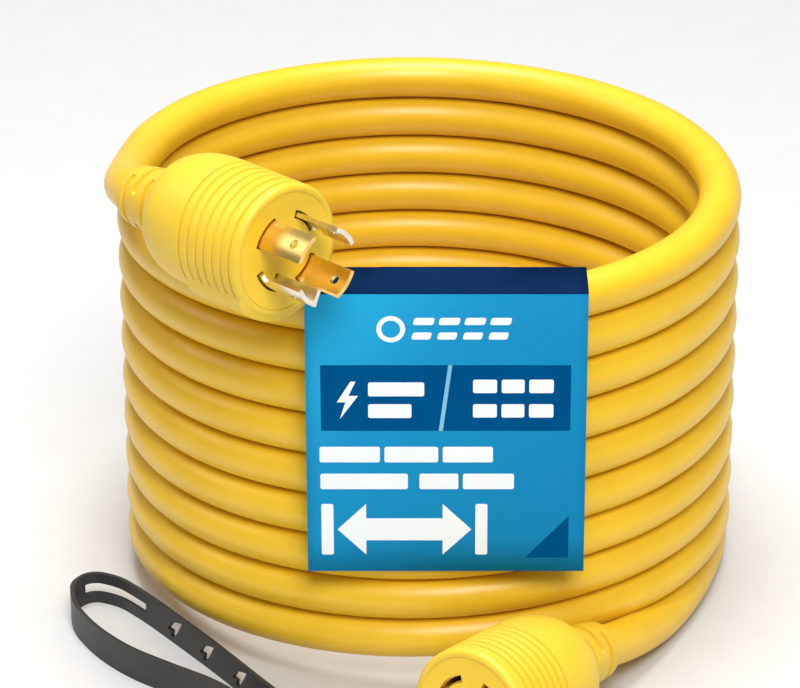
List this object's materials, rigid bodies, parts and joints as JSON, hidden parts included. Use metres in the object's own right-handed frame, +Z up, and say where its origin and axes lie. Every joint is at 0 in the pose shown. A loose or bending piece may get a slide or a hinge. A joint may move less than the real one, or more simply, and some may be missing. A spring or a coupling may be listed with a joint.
{
  "type": "generator power cord",
  "caption": "Coiled heavy yellow four-wire power cord with a locking plug and a locking connector, a printed card over the coil wall and a loose strap beside it.",
  "frame": {"origin": "on the floor, under the middle of the whole object", "axes": "+Z up along the coil axis, -Y towards the card, +X to the right of someone who faces the card"},
  "size_m": [0.2838, 0.3472, 0.232],
  "materials": {
    "cord_jacket": "satin vinyl jacket",
    "moulded_grip": "moulded vinyl, fine matt",
    "moulded_relief": "moulded vinyl, fine matt",
    "face_insulator": "moulded insulator",
    "brass_blade": "stamped brass",
    "nickel_blade": "nickel plated",
    "contact_brass": "spring brass",
    "wire_black": "wire insulation",
    "wire_white": "wire insulation",
    "wire_red": "wire insulation",
    "wire_green": "wire insulation",
    "copper": "bare stranded copper",
    "card": "coated printed card",
    "strap": "black elastomer"
  },
  "bodies": {
    "cord": {"connector_bare_strands": "copper", "connector_body": "moulded_grip", "connector_conductor_black": "wire_black", "connector_conductor_green": "wire_green", "connector_conductor_red": "wire_red", "connector_conductor_white": "wire_white", "connector_contact_ground": "contact_brass", "connector_contact_hot_x": "contact_brass", "connector_contact_hot_y": "contact_brass", "connector_contact_neutral": "contact_brass", "connector_face_carrier": "face_insulator", "connector_lead": "cord_jacket", "connector_strain_relief": "moulded_relief", "cord_coil": "cord_jacket", "plug_bare_strands": "copper", "plug_blade_ground": "nickel_blade", "plug_blade_hot_x": "brass_blade", "plug_blade_hot_y": "brass_blade", "plug_blade_neutral": "nickel_blade", "plug_body": "moulded_grip", "plug_conductor_black": "wire_black", "plug_conductor_green": "wire_green", "plug_conductor_red": "wire_red", "plug_conductor_white": "wire_white", "plug_face_carrier": "face_insulator", "plug_lead": "cord_jacket", "plug_strain_relief": "moulded_relief"},
    "card": {"printed_card": "card"},
    "strap": {"cable_strap": "strap"}
  },
  "joints": [
    {"name": "card_slide", "type": "hinge", "parent": "cord", "child": "card", "pos_m": [0.00985, 0.0415, 0], "axis": [0, 0, 1], "range_deg": [0, 25]},
    {"name": "strap_lift", "type": "slide", "parent": "cord", "child": "strap", "axis": [0, 0, 1], "range_m": [0, 0.1]}
  ]
}
